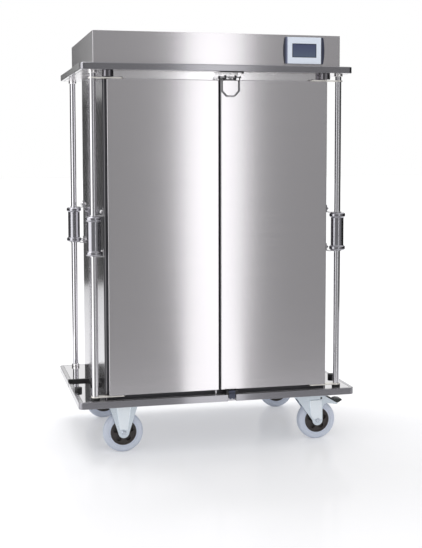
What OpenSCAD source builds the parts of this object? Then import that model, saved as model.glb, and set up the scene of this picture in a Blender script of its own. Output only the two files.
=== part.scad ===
// Enclosed meal tray cart. An insulated two-door cabinet stands between a base platform and a
// top platform, on two fixed and two swivel casters. Four corner tubes join the platforms: the
// front pair hinges the doors, and all four carry a bumper roller at hand height.
// Millimetres. X is the width, the doors face -Y, and the floor is Z = 0.

/* [Cabinet] */
// Width over the side panels
cab_w = 912; // [880:1:960]
// Height between the two platforms
cab_h = 1277; // [1150:1:1400]
// Thickness of the side and back walls, with their foam
wall_t = 32; // [26:1:36]
// Thickness of the insulated floor
floor_t = 50; // [44:1:60]
// Thickness of the insulated roof
roof_t = 64; // [56:1:80]
// Width of the post between the two compartments
post_w = 44; // [40:1:60]
// Height of the steel strip above the doors
fascia_h = 32; // [26:1:36]
// Thickness of the frame round the door openings
frame_t = 6; // [4:0.5:8]
// Sheet of the outer skins and the hood
skin_t = 1.5; // [1:0.1:2]
// Sheet of the compartment liners
liner_t = 1; // [0.8:0.1:1.5]
// Back of the cabinet in front of the rear tubes' axes
back_inset = 13.5; // [13:0.5:40]

/* [Platforms] */
// Depth over the bumpers
base_d = 750; // [720:1:800]
// Height of the base above the floor
base_z = 198; // [196:1:215]
// Height of the base platform
base_h = 27; // [24:1:34]
// Height of the top platform
top_h = 26; // [22:1:34]
// Base bumper's face beyond the tube axes, along the width
base_margin = 68; // [60:1:80]
// Top bumper's face beyond the tube axes, along the width
top_margin = 50; // [40:1:60]
// Tube axes behind the front bumper's face
tube_inset = 33.5; // [33:0.5:40]
// Thickness of the bumpers
bumper_t = 16; // [14:1:18]
// Radius of the bumpers' upright corners
bumper_r = 20; // [18:1:24]
// Sheet of both platforms
plate_t = 2; // [1.5:0.1:3]

/* [Tubes and rollers] */
// Radius of the corner tubes
tube_r = 12.5; // [11:0.5:14]
// Wall of the corner tubes
tube_wall = 1.5; // [1:0.1:2]
// Tube axes outboard of the side panels
tube_out = 40; // [38:0.5:44]
// Radius of the collars at the tubes' ends
collar_r = 17; // [16:0.5:18]
// Height of the upper collars
collar_h = 12; // [8:1:16]
// Length of a bumper roller
roller_h = 152; // [120:1:180]
// Height of the rollers' middle above the base platform
roller_lift = 642; // [500:1:700]
// Radius of a roller's barrel
roller_r = 26; // [22:0.5:28]
// Radius of a roller's two flanges
flange_r = 32; // [30:0.5:33]
// Height of a roller's flanges
flange_h = 16; // [10:1:20]
// Thickness of the roller brackets
bracket_t = 3; // [2:0.5:4]
// Radius of the dome nuts
nut_r = 7; // [5:0.5:8]

/* [Doors] */
// Thickness of a door without its gasket
door_t = 32; // [28:1:36]
// Door face in front of the tube axes
door_proud = 17.5; // [16:0.5:20]
// Door edge inboard of the side panel
door_inset = 12.5; // [11:0.5:14]
// Gap between the two doors
door_gap = 7; // [5:0.5:10]
// Door bottom above the base platform
door_lift = 17; // [15:0.5:20]
// Door top below the top platform
door_drop = 32.5; // [30:0.5:36]
// Width of the gasket
gasket_w = 14; // [10:0.5:16]
// Thickness of the gasket
gasket_t = 4.5; // [3:0.5:6]
// Gasket inside the door's outline
gasket_inset = 2; // [1:0.5:3]
// Thickness of the hinge arms
arm_t = 5; // [4:0.5:6]
// Width of the hinge arms
arm_w = 24; // [18:1:26]
// Reach of the hinge arms from the tube axis
arm_len = 117; // [90:1:150]
// Radius of the locating pin under the left door
pin_r = 4; // [3:0.5:5]
// Locating pin from the left door's free edge
pin_inset = 11.5; // [10:0.5:20]

/* [Latch and pedal] */
// Radius of the bail's wire
wire_r = 2.5; // [2:0.25:3]
// Width over the bail
bail_w = 74; // [60:1:90]
// Drop of the bail below its pivot
bail_h = 75.5; // [60:0.5:90]
// Left edge of the bail from the cart's middle
bail_x = 6; // [5.5:0.5:12]
// Pivot of the bail in front of the door
pivot_out = 7; // [6:0.5:8]
// Pivot of the bail above the door
pivot_up = 10.5; // [10:0.5:12]
// Radius of the bail's pivot rod
pivot_r = 3; // [2.5:0.25:3.5]
// Radius of the two latch eyes
eye_r = 8; // [7:0.5:9]
// Width of the foot pedal
pedal_w = 26; // [20:1:34]
// Left edge of the foot pedal from the cart's middle
pedal_x = 33; // [30:1:40]
// Drop of the foot pedal's tongue below its pin
pedal_drop = 27; // [20:1:30]

/* [Compartments] */
// Distance between tray ledges
tray_pitch = 110; // [80:1:160]
// Lowest tray ledge above the compartment floor
first_ledge = 60; // [40:1:100]
// Width of a tray ledge
ledge_w = 18; // [12:1:24]
// Length of a tray ledge
ledge_len = 560; // [500:1:580]
// Thickness of a tray ledge
ledge_t = 3; // [2:0.5:4]

/* [Hood] */
// Height of the hood
hood_h = 122; // [110:1:150]
// Ledge between the hood's sides and the top bumper's face
hood_side = 50; // [40:1:60]
// Ledge between the hood's front and the top bumper's face
hood_ledge = 17; // [16.5:0.5:30]
// Radius of the hood's upright corners
hood_r = 3; // [3:0.5:10]
// Width of the display's light frame
disp_w = 140; // [120:1:150]
// Height of the display's frame
disp_h = 104; // [90:1:105]
// Middle of the display from the hood's right side
disp_in = 152; // [110:1:250]
// Width of the display's curved side trims
trim_w = 14; // [8:1:20]
// Display proud of the hood
disp_t = 8; // [5:0.5:10]
// Size of the screen's window
screen = [100, 54];
// Side of the square ventilation fan
fan_side = 92; // [80:1:100]
// Depth of the ventilation fan
fan_t = 25; // [20:1:32]
// Middle of the fan from the hood's left side
fan_in = 246; // [200:1:400]
// Middle of the mains inlet from the hood's right side
inlet_in = 196; // [100:1:400]

/* [Casters] */
// Radius of the wheels
wheel_r = 80; // [75:1:82]
// Width of the tyres
wheel_w = 36; // [30:1:40]
// Radius of the hub inside the tyre
hub_r = 52; // [46:1:58]
// Wheel behind the swivel's axis
trail = 50; // [44:1:56]
// Swivel axis from the base bumper's end face
caster_in = 184; // [170:1:200]
// Wheel's middle from the base bumper's front face
caster_side = 95; // [90:1:110]
// Radius of the axles
axle_r = 6; // [5:0.5:8]
// Thickness of the forks' legs
leg_t = 4; // [3:0.5:5]
// Broad ribs on each side of a hub
hub_ribs = 5; // [4:1:6]
// Length of a brake lever from its pin
brake_len = 94; // [80:1:96]

/* [Clearances] */
// Radial gap of what turns on a tube, rod or axle
run = 0.06; // [0.03:0.01:0.1]
// Gap between the gasket and the frame, and under the door arms
seal_gap = 0.5; // [0.3:0.1:1]
// Gap between faces that pass each other
pass = 1; // [0.5:0.1:1.5]
// Gap where foam boards and frame bars meet end to end
butt_gap = 0.2; // [0.1:0.1:0.5]

/* [Hidden] */
$fn = 48;

base_top = base_z + base_h;
top_z = base_top + cab_h;
top_top = top_z + top_h;
tube_x = cab_w / 2 + tube_out;
tube_y = base_d / 2 - tube_inset;
base_w = 2 * (tube_x + base_margin);
top_w = 2 * (tube_x + top_margin);

// Door planes, from the tube axes backwards to the cabinet
door_front = -(tube_y + door_proud);
door_back = door_front + door_t;
door_in = door_gap / 2;
door_out = cab_w / 2 - door_inset;
door_z0 = base_top + door_lift;
door_z1 = top_z - door_drop;
door_mid = (door_front + door_back) / 2;
cab_front = door_back + gasket_t + seal_gap;
cab_back = tube_y - back_inset;
body_front = cab_front + frame_t;

// Inside faces of the compartments
comp_in = post_w / 2;
comp_out = cab_w / 2 - wall_t;
comp_back = cab_back - wall_t;
comp_z0 = base_top + floor_t;
comp_z1 = top_z - roof_t;
ledges = floor((comp_z1 - comp_z0 - first_ledge - tray_pitch / 3) / tray_pitch) + 1;
rail_post = [4, 20];
rail_end = 60;
rail_y = (body_front + comp_back) / 2;

// Hinge arms, with a rivet head at each arm's end, and the stay of the open door
rivet_r = 5;
rivet_h = 2;
collar_top = door_z0 - arm_t - seal_gap;
stay_r = 15;
stay_top = door_z0 - 3 * pass;
stay_out = 46;
stay_back = 182;
stop_r = 22;
stop_in = 59;
stop_y = cab_front - stop_r - seal_gap;
stop_bottom = door_z1 + arm_t + 2.5 * pass;

// Rollers and their brackets
roller_z = base_top + roller_lift;
roller_lo = roller_z - roller_h / 2;
roller_hi = roller_z + roller_h / 2;
bracket_z = [roller_lo - pass - bracket_t, roller_hi + pass];
bracket_leg = [30, 30];
bracket_back = 15.5;
nut_up = 14.5;
nut_out = 10;

// Base fittings: a cross strip hooked over the bumper, and a long rubber pad at the wall
strip_w = 12;
strip_y = 17;
strip_h = 10;
strip_hook = 3;
strip_lip = 20;
pad = [22, 101, 10];
pad_y = strip_y + strip_w / 2 - pad[1];

// Latch: pivot rod in front of and above the right door, with a keeper on the top platform
pivot_y = door_front - pivot_out;
pivot_z = door_z1 + pivot_up;
bail_end = bail_x + bail_w;
bail_flat = 32;
bail_slope = 20;
eye_t = 6;
eye_x = [bail_x + 11, bail_end - 22];
eye_base_t = 3;
eye_back = 18;
cam_r = 6;
cam_x = -8;
cam_drop = 2;
knob_r = 4.5;
strike = [93, 18, 3];
strike_hook = 5;

// Foot pedal: turns on a pin over the base bumper, and hangs in a notch of it
pedal_y = -(base_d / 2 - 9);
pedal_z = base_top + 8;
pedal_boss = 6.5;
pedal_pin = 3;
pedal_t = 4;
pedal_rise = 6;
pedal_room = 3;
ear_t = 10;
ear_y = 26;
ear_top = door_z0 - 2 * pass;

hood_w = top_w - 2 * hood_side;
hood_d = base_d - 2 * hood_ledge;
hood_front = -hood_d / 2;
hood_top = top_top + hood_h;
disp_x = hood_w / 2 - disp_in;
disp_z = top_top + hood_h / 2;
disp_sag = 5;
screen_t = 6;
panel_hole = [80, 36];
unit = [180, 130, 86];
cable_hole = 60;
cable_y = -30;
cable_x = disp_x - unit[0] / 2 - 50;
fan_x = fan_in - hood_w / 2;
fan_z = top_top + hood_h / 2;
fan_ring = fan_side / 2 - 3;
fan_hub = 17;
fan_blade_t = 2;
fan_blades = 7;
fan_shaft = 3;
slot_n = 7;
slot_w = 6;
slot_end = 12;
slot_h = fan_side - 2 * slot_end;
inlet_x = hood_w / 2 - inlet_in;
inlet_up = 46;
inlet_z = top_top + inlet_up;
inlet = [50, 30, 3];
inlet_body = [38, 24, 20];
inlet_cup = [28, 16, 15];

caster_x = base_w / 2 - caster_in;
caster_y = base_d / 2 - caster_side;
leg_in = wheel_w / 2 + 4;
boss_w = 2 * (leg_in - seal_gap);
cplate = [110, 100, 4];
cplate_z = base_z - cplate[2];
bolt_at = [42, 38];
bolt_r = 4;
bolt_head = [7.5, 5];
rail_w = 100;
rail_t = 3;
cross_w = 60;
race_r = 36;
race_z = cplate_z - 4;
head_t = 5.7;
bridge_t = 8;
bridge_z = race_z - 0.3 - head_t - bridge_t;
king_r = 8;
king_nut = [12, 6];
fork_mid = 53;
fork_step = 18;
fork_tuck = 0.5;
fork_back = 47;
fork_bridge = 54;
fork_end_r = 22;
beak = [[75, 0], [137, -37], [136, -41.5], [92, -35], [80, -38], [72, -50]];
brake_x = 66;
brake_z = bridge_z - 4;
brake_fall = 12;
brake_w = 34;
paddle_len = 34;
paddle_w = 40;
hub_web = 8;
hub_rim = 6;
pocket_r = 10.5;
rib_in = 3;

steel = "#c9c9cb";
bright = "#d9dadc";
black = "#26272b";
grey = "#55565e";
zinc = "#b4bcc8";

// ---- helpers ----

module block(lo, hi) {
    translate(lo) cube(hi - lo);
}

// Rounded rectangle round the origin
module rrect(w, d, r) {
    square([w - 2 * r, d], center = true);
    square([w, d - 2 * r], center = true);
    for (sx = [-1, 1], sy = [-1, 1])
        translate([sx * (w / 2 - r), sy * (d / 2 - r)]) circle(r);
}

// Folded sheet box between two corners, open towards one side
module pan(lo, hi, t, open) {
    difference() {
        block(lo, hi);
        block(
            [for (i = [0:2]) lo[i] + (open[i] < 0 ? -1 : t)],
            [for (i = [0:2]) hi[i] - (open[i] > 0 ? -1 : t)]
        );
    }
}

// Copy on the right for 1, mirrored to the left for -1
module on_side(s) {
    if (s < 0) mirror([1, 0, 0]) children();
    else children();
}

module at_corners() {
    for (sx = [-1, 1], sy = [-1, 1])
        translate([sx * tube_x, sy * tube_y, 0]) children();
}

// Cylinder along X from x0 to x1
module rod_x(x0, x1, r) {
    translate([x0, 0, 0]) rotate([0, 90, 0]) cylinder(h = x1 - x0, r = r);
}

// Cylinder along Y, centred
module rod_y(w, r) {
    rotate([90, 0, 0]) cylinder(h = w, r = r, center = true);
}

// Wire between two points of the XZ plane
module wire(a, b) {
    d = b - a;
    translate([a[0], 0, a[1]]) rotate([0, atan2(d[0], d[1]), 0]) cylinder(h = norm(d), r = wire_r);
    translate([b[0], 0, b[1]]) sphere(wire_r + 0.2);
}

// ---- platforms ----

module bumper_ring(w, z, h) {
    translate([0, 0, z]) linear_extrude(h) difference() {
        rrect(w, base_d, bumper_r);
        rrect(w - 2 * bumper_t, base_d - 2 * bumper_t, bumper_r - bumper_t);
    }
}

// Down-turned sheet that fills the bumper ring
module base_platform() {
    w = base_w - 2 * bumper_t;
    d = base_d - 2 * bumper_t;
    r = bumper_r - bumper_t;
    color(bright) translate([0, 0, base_z + plate_t]) difference() {
        linear_extrude(base_h - plate_t) rrect(w, d, r);
        translate([0, 0, -1]) linear_extrude(base_h - 2 * plate_t + 1)
            rrect(w - 2 * plate_t, d - 2 * plate_t, r - plate_t);
    }
}

module base_bumper() {
    color(grey) difference() {
        bumper_ring(base_w, base_z, base_h);
        // notch behind the pedal's tongue
        block(
            [pedal_x - pedal_room, -base_d / 2 - 1, base_z - 1],
            [pedal_x + pedal_w + pedal_room, pedal_y + 2, base_top + 1]
        );
        // seats of the ledge strips' hooks
        for (s = [-1, 1]) on_side(s)
            block(
                [base_w / 2 - strip_hook, strip_y - strip_w / 2, base_top - strip_lip],
                [base_w / 2 + 1, strip_y + strip_w / 2, base_top + 1]
            );
    }
}

// Two rails that carry the caster plates, joined by three cross members
module under_frame() {
    x = base_w / 2 - bumper_t - plate_t;
    z1 = base_top - plate_t;
    color(zinc) difference() {
        union() {
            for (s = [-1, 1])
                pan([-x, s * caster_y - rail_w / 2, base_z], [x, s * caster_y + rail_w / 2, z1],
                    rail_t, [0, 0, 1]);
            for (cx = [-caster_x, 0, caster_x])
                pan([cx - cross_w / 2, -caster_y + rail_w / 2 - rail_t, base_z],
                    [cx + cross_w / 2, caster_y - rail_w / 2 + rail_t, z1], rail_t, [0, 0, 1]);
        }
        at_bolts() translate([0, 0, base_z - 1]) cylinder(h = rail_t + 2, r = bolt_r);
    }
}

// Hollow sheet box inside the top bumper, with a cable hole into the hood
module top_platform() {
    w = top_w - 2 * bumper_t;
    d = base_d - 2 * bumper_t;
    r = bumper_r - bumper_t;
    color(bright) difference() {
        translate([0, 0, top_z]) linear_extrude(top_h) rrect(w, d, r);
        translate([0, 0, top_z + plate_t]) linear_extrude(top_h - 2 * plate_t)
            rrect(w - 2 * plate_t, d - 2 * plate_t, r - plate_t);
        translate([cable_x, cable_y, top_top])
            cube([cable_hole, cable_hole, 3 * plate_t], center = true);
    }
}

module top_bumper() {
    color(grey) bumper_ring(top_w, top_z, top_h);
}

// ---- cabinet ----

skin_in = comp_out + liner_t;

module side_panels() {
    color(steel) for (s = [-1, 1]) on_side(s)
        pan([skin_in, body_front, base_top], [cab_w / 2, cab_back, top_z], skin_t, [-1, 0, 0]);
}

module back_panel() {
    color(steel)
        pan([-skin_in, comp_back + liner_t, comp_z0 - liner_t],
            [skin_in, cab_back, comp_z1 + liner_t], skin_t, [0, -1, 0]);
}

module floor_panel() {
    color(steel)
        pan([-skin_in, body_front, base_top], [skin_in, cab_back, comp_z0 - liner_t],
            skin_t, [0, 0, 1]);
}

// Roof pan with the steel strip above the doors
module roof_panel() {
    color(steel) {
        pan([-skin_in, body_front, comp_z1 + liner_t], [skin_in, cab_back, top_z],
            skin_t, [0, 0, -1]);
        block([-cab_w / 2, cab_front, top_z - fascia_h], [cab_w / 2, body_front, top_z]);
    }
}

// Six foam boards: two sides, floor, roof, back and the middle post
module insulation() {
    x = skin_in - skin_t;
    y0 = body_front + skin_t;
    y1 = cab_back - skin_t;
    color("#e6dcae") {
        for (s = [-1, 1]) on_side(s)
            block([skin_in, y0, base_top + skin_t], [cab_w / 2 - skin_t, y1, top_z - skin_t]);
        block([-x, y0, base_top + skin_t], [x, y1, comp_z0 - liner_t]);
        block([-x, y0, comp_z1 + liner_t], [x, y1, top_z - skin_t]);
        block([-x, comp_back + liner_t, comp_z0 - liner_t + skin_t],
            [x, y1, comp_z1 + liner_t - skin_t]);
        block([-comp_in + liner_t, body_front, comp_z0 - liner_t + butt_gap],
            [comp_in - liner_t, comp_back + liner_t - butt_gap, comp_z1 + liner_t - butt_gap]);
    }
}

module compartment_liners() {
    color(bright) for (s = [-1, 1]) on_side(s)
        pan([comp_in - liner_t, body_front, comp_z0 - liner_t],
            [skin_in, comp_back + liner_t, comp_z1 + liner_t], liner_t, [0, -1, 0]);
}

// Dark frame of five bars that the door gaskets close on: sill, head, stiles and middle post
module front_frame() {
    top = top_z - fascia_h;
    x = comp_out - butt_gap;
    color(black) {
        for (s = [-1, 1]) on_side(s)
            block([comp_out, cab_front, base_top], [cab_w / 2, body_front, top]);
        block([-x, cab_front, base_top], [x, body_front, comp_z0]);
        block([-x, cab_front, comp_z1], [x, body_front, top]);
        block([-comp_in, cab_front, comp_z0 + butt_gap],
            [comp_in, body_front, comp_z1 - butt_gap]);
    }
}

// Both walls of both compartments, each as its face and the way into the compartment
rail_walls = [[comp_in, 1], [comp_out, -1]];

// Two uprights on each wall
module rail_posts() {
    color(bright) for (s = [-1, 1], wall = rail_walls, e = [-1, 1]) on_side(s) {
        x = wall[0] + wall[1] * rail_post[0];
        y = rail_y + e * (ledge_len / 2 - rail_end);
        block([min(wall[0], x), y - rail_post[1] / 2, comp_z0],
            [max(wall[0], x), y + rail_post[1] / 2, comp_z1]);
    }
}

// The stack of ledges on each pair of uprights
module tray_ledges() {
    color(bright) for (s = [-1, 1], wall = rail_walls, i = [0 : ledges - 1]) on_side(s) {
        x0 = wall[0] + wall[1] * rail_post[0];
        x1 = x0 + wall[1] * ledge_w;
        z = comp_z0 + first_ledge + i * tray_pitch;
        block([min(x0, x1), rail_y - ledge_len / 2, z - ledge_t],
            [max(x0, x1), rail_y + ledge_len / 2, z]);
    }
}

// ---- corner tubes, rollers and what is fixed round them ----

module corner_tubes() {
    color(bright) at_corners() translate([0, 0, base_top]) difference() {
        cylinder(h = cab_h, r = tube_r);
        translate([0, 0, -1]) cylinder(h = cab_h + 2, r = tube_r - tube_wall);
    }
}

module collar(z0, z1) {
    translate([0, 0, z0]) difference() {
        cylinder(h = z1 - z0, r = collar_r);
        translate([0, 0, -1]) cylinder(h = z1 - z0 + 2, r = tube_r);
    }
}

module tube_collars() {
    color(black) at_corners() {
        collar(base_top, collar_top);
        collar(top_z - collar_h, top_z);
    }
}

// Plate round the tube, with a leg that turns up the cabinet's side
module roller_brackets() {
    wall = cab_w / 2;
    leg_y = tube_y - bracket_back - bracket_leg[0];
    color(zinc) for (sx = [-1, 1], sy = [-1, 1], z = bracket_z)
        on_side(sx) mirror([0, sy < 0 ? 1 : 0, 0]) difference() {
            union() {
                translate([0, 0, z]) linear_extrude(bracket_t) {
                    translate([tube_x, tube_y]) circle(collar_r);
                    translate([wall, tube_y - bracket_back])
                        square([tube_x - wall, bracket_back + tube_r]);
                    translate([wall, leg_y]) square([collar_r, bracket_leg[0] + bracket_back]);
                }
                block([wall, leg_y, z],
                    [wall + bracket_t, leg_y + bracket_leg[0], z + bracket_leg[1]]);
            }
            translate([tube_x, tube_y, z - 1]) cylinder(h = bracket_t + 2, r = tube_r);
        }
}

module dome_nuts() {
    y = tube_y - bracket_back - bracket_leg[0] / 2;
    color(bright) for (sx = [-1, 1], sy = [-1, 1], z = bracket_z)
        on_side(sx) translate([cab_w / 2 + bracket_t, sy * y, z + nut_up]) {
            rod_x(0, nut_out - nut_r, nut_r);
            translate([nut_out - nut_r, 0, 0]) intersection() {
                sphere(nut_r);
                rod_x(0, nut_r, nut_r);
            }
        }
}

module roller() {
    bore = tube_r + run;
    color(grey) rotate_extrude() polygon([
        [bore, roller_lo], [flange_r - 6, roller_lo], [flange_r, roller_lo + 4],
        [flange_r, roller_lo + flange_h - 4], [roller_r, roller_lo + flange_h],
        [roller_r, roller_hi - flange_h], [flange_r, roller_hi - flange_h + 4],
        [flange_r, roller_hi - 4], [flange_r - 6, roller_hi], [bore, roller_hi]
    ]);
}

module roller_front_left() { translate([-tube_x, -tube_y, 0]) roller(); }
module roller_front_right() { translate([tube_x, -tube_y, 0]) roller(); }
module roller_rear_left() { translate([-tube_x, tube_y, 0]) roller(); }
module roller_rear_right() { translate([tube_x, tube_y, 0]) roller(); }

// Short polished posts under the top platform that keep the doors from lifting off
module lift_stops() {
    color(bright) for (s = [-1, 1])
        translate([s * (tube_x - stop_in), stop_y, stop_bottom])
            cylinder(h = top_z - stop_bottom, r = stop_r);
}

// Black fittings on the base: a stay, a strip and a pad beside each wall, and the pedal's ears
module base_fittings() {
    wall = cab_w / 2;
    ear_x = [pedal_x - seal_gap - ear_t, pedal_x + pedal_w + seal_gap];
    color(black) {
        for (s = [-1, 1]) on_side(s) {
            translate([tube_x + stay_out, -tube_y + stay_back, base_top])
                cylinder(h = stay_top - base_top, r = stay_r);
            block([wall + pad[0], strip_y - strip_w / 2, base_top],
                [base_w / 2, strip_y + strip_w / 2, base_top + strip_h]);
            block([base_w / 2 - strip_hook, strip_y - strip_w / 2, base_top - strip_lip],
                [base_w / 2, strip_y + strip_w / 2, base_top]);
            block([wall, pad_y, base_top], [wall + pad[0], pad_y + pad[1], base_top + pad[2]]);
        }
        difference() {
            for (x = ear_x)
                block([x, pedal_y - pedal_boss, base_top], [x + ear_t, -base_d / 2 + ear_y, ear_top]);
            translate([0, pedal_y, pedal_z])
                rod_x(ear_x[0] - 1, ear_x[1] + ear_t + 1, pedal_pin + run);
        }
    }
}

// ---- doors ----

module door_shell() {
    color(steel)
        pan([door_in, door_front, door_z0], [door_out, door_back - 2 * skin_t, door_z1],
            skin_t, [0, 1, 0]);
}

module door_core() {
    color("#b9babd")
        block([door_in + skin_t, door_front + skin_t, door_z0 + skin_t],
            [door_out - skin_t, door_back, door_z1 - skin_t]);
}

module door_gasket() {
    a = gasket_inset;
    b = gasket_inset + gasket_w;
    color(black) difference() {
        block([door_in + a, door_back, door_z0 + a], [door_out - a, door_back + gasket_t, door_z1 - a]);
        block([door_in + b, door_back - 1, door_z0 + b],
            [door_out - b, door_back + gasket_t + 1, door_z1 - b]);
    }
}

// Plate with an eye round the tube, riveted to the door's edge
module door_arm(z, rivet_z) {
    difference() {
        union() {
            translate([0, 0, z]) linear_extrude(arm_t) {
                translate([tube_x, -tube_y]) circle(collar_r);
                translate([tube_x - arm_len + arm_w / 2, door_mid - arm_w / 2])
                    square([arm_len - arm_w / 2, arm_w]);
                translate([tube_x - arm_len + arm_w / 2, door_mid]) circle(arm_w / 2);
            }
            translate([tube_x - arm_len + rivet_r + 1, door_mid, rivet_z])
                cylinder(h = rivet_h, r = rivet_r);
        }
        translate([tube_x, -tube_y, z - 1]) cylinder(h = arm_t + 2, r = tube_r + run);
    }
}

module door_arms() {
    color(zinc) {
        door_arm(door_z0 - arm_t, door_z0 - arm_t - rivet_h);
        door_arm(door_z1, door_z1 + arm_t);
    }
}

module door_left_shell() { on_side(-1) door_shell(); }
module door_left_core() { on_side(-1) door_core(); }
module door_left_gasket() { on_side(-1) door_gasket(); }
module door_left_arms() { on_side(-1) door_arms(); }
module door_right_shell() { door_shell(); }
module door_right_core() { door_core(); }
module door_right_gasket() { door_gasket(); }
module door_right_arms() { door_arms(); }

module door_left_pin() {
    color(bright) translate([-door_in - pin_inset, door_mid - 2 * pin_r, base_top + 2 * pass])
        cylinder(h = door_z0 - base_top - 2 * pass, r = pin_r);
}

// ---- latch ----

// Two eyes on the right door's top edge
module latch_eyes() {
    x1 = eye_x[1] + eye_t;
    color(zinc) {
        block([eye_x[0] - 4, door_front + 2, door_z1], [x1 + 4, door_back - 6, door_z1 + eye_base_t]);
        for (x = eye_x) difference() {
            translate([x, pivot_y, pivot_z]) union() {
                rod_x(0, eye_t, eye_r);
                block([0, 0, door_z1 + eye_base_t - pivot_z], [eye_t, pivot_out + eye_back, 2]);
            }
            translate([x - 1, pivot_y, pivot_z]) rod_x(0, eye_t + 2, pivot_r + run);
        }
    }
}

// Wire bail on its pivot rod, with the cam at the doors' meeting edge
module latch_bail() {
    x0 = bail_x + wire_r;
    x1 = bail_end - wire_r;
    flat0 = (x0 + x1 - bail_flat) / 2;
    z_low = wire_r - bail_h;
    z_bend = z_low + bail_slope;
    points = [[x0, 0], [x0, z_bend], [flat0, z_low], [flat0 + bail_flat, z_low], [x1, z_bend], [x1, 0]];
    color(zinc) translate([0, pivot_y, pivot_z]) {
        for (i = [0:4]) wire(points[i], points[i + 1]);
        rod_x(cam_x / 2, bail_end, pivot_r);
        translate([0, 0, -cam_drop]) rod_x(cam_x, 0, cam_r);
        translate([bail_end, 0, 0]) sphere(knob_r);
    }
}

// Keeper under the top platform, turned down at its right end
module strike_plate() {
    y0 = -base_d / 2 + 1;
    color(black) {
        block([0, y0, top_z - strike[2]], [strike[0], y0 + strike[1], top_z]);
        block([strike[0] - strike_hook, y0, top_z - strike[2] - strike_hook],
            [strike[0], y0 + strike[1], top_z - strike[2]]);
    }
}

// ---- foot pedal ----

module foot_pedal() {
    front = -base_d / 2 - pedal_y;
    color("#3c4356") translate([0, pedal_y, pedal_z]) {
        rod_x(pedal_x, pedal_x + pedal_w, pedal_boss);
        rod_x(pedal_x - ear_t + 1, pedal_x + pedal_w + ear_t - 1, pedal_pin);
        block([pedal_x, front, -5], [pedal_x + pedal_w, 0, pedal_rise]);
        block([pedal_x, front, -pedal_drop], [pedal_x + pedal_w, front + pedal_t, 0]);
    }
}

// ---- hood ----

module hood_housing() {
    color(steel) difference() {
        translate([0, 0, top_top]) linear_extrude(hood_h) rrect(hood_w, hood_d, hood_r);
        translate([0, 0, top_top - 1]) linear_extrude(hood_h - skin_t + 1)
            rrect(hood_w - 2 * skin_t, hood_d - 2 * skin_t, hood_r - skin_t);
        // wiring hole behind the display
        block([disp_x - panel_hole[0] / 2, hood_front - 1, disp_z - panel_hole[1] / 2],
            [disp_x + panel_hole[0] / 2, hood_front + skin_t + 1, disp_z + panel_hole[1] / 2]);
        // air slots at the fan, and the hole of the inlet
        for (i = [0 : slot_n - 1])
            translate([fan_x + (i - (slot_n - 1) / 2) * 2 * slot_w, -hood_front, fan_z])
                cube([slot_w, 4 * skin_t, slot_h], center = true);
        block([inlet_x - inlet_body[0] / 2, -hood_front - skin_t - 1, inlet_z - inlet_body[1] / 2],
            [inlet_x + inlet_body[0] / 2, -hood_front + 1, inlet_z + inlet_body[1] / 2]);
    }
}

module control_unit() {
    color("#8d9097")
        block([disp_x - unit[0] / 2, hood_front + skin_t, top_top],
            [disp_x + unit[0] / 2, hood_front + skin_t + unit[1], top_top + unit[2]]);
}

// Square fan body against the hood's back, with a motor stub on four arms
module fan_frame() {
    y1 = -hood_front - skin_t;
    color(black) translate([fan_x, y1 - fan_t, fan_z]) rotate([-90, 0, 0]) {
        difference() {
            translate([-fan_side / 2, -fan_side / 2, 0]) cube([fan_side, fan_side, fan_t]);
            translate([0, 0, -1]) cylinder(h = fan_t + 2, r = fan_ring);
        }
        for (a = [0, 90]) rotate(a)
            translate([-fan_ring - 1, -2, 0]) cube([2 * fan_ring + 2, 4, 3]);
        cylinder(h = 4, r = fan_hub);
        cylinder(h = fan_t - 4, r = fan_shaft);
    }
}

module fan_impeller() {
    y1 = -hood_front - skin_t;
    color("#3a3b40") translate([fan_x, y1 - fan_t, fan_z]) rotate([-90, 0, 0]) difference() {
        union() {
            translate([0, 0, 5]) cylinder(h = fan_t - 7, r = fan_hub);
            for (i = [0 : fan_blades - 1]) rotate(i * 360 / fan_blades)
                translate([fan_hub - 2, 0, fan_t / 2 + 1.5]) rotate([38, 0, 0])
                    translate([0, -11, -fan_blade_t / 2]) cube([fan_ring - fan_hub - 1, 22, fan_blade_t]);
        }
        translate([0, 0, -1]) cylinder(h = fan_t + 2, r = fan_shaft + run);
    }
}

// Appliance inlet: flange outside the hood, cup with three blades inside
module mains_inlet() {
    y = -hood_front;
    color(black) translate([inlet_x, y, inlet_z]) {
        difference() {
            union() {
                translate([-inlet[0] / 2, 0, -inlet[1] / 2]) cube([inlet[0], inlet[2], inlet[1]]);
                translate([-inlet_body[0] / 2, -inlet_body[2], -inlet_body[1] / 2])
                    cube([inlet_body[0], inlet_body[2], inlet_body[1]]);
            }
            translate([-inlet_cup[0] / 2, inlet[2] - inlet_cup[2], -inlet_cup[1] / 2])
                cube([inlet_cup[0], inlet_cup[2] + 1, inlet_cup[1]]);
        }
        for (p = [[-7, -2], [0, 2], [7, -2]])
            translate([p[0] - 1, inlet[2] - inlet_cup[2], p[1] - 2]) cube([2, 12, 4]);
    }
}

// Light frame with the screen's window, between two curved dark trims
module display_frame() {
    z0 = disp_z - disp_h / 2;
    color("#d4dbe2") difference() {
        block([disp_x - disp_w / 2, hood_front - disp_t, z0],
            [disp_x + disp_w / 2, hood_front, z0 + disp_h]);
        translate([disp_x - screen[0] / 2, hood_front - disp_t - 1, disp_z - screen[1] / 2])
            cube([screen[0], screen_t + 1, screen[1]]);
    }
}

module display_screen() {
    color("#2c4a73")
        translate([disp_x - screen[0] / 2, hood_front - disp_t + 1, disp_z - screen[1] / 2])
            cube([screen[0], screen_t - 1, screen[1]]);
}

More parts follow.
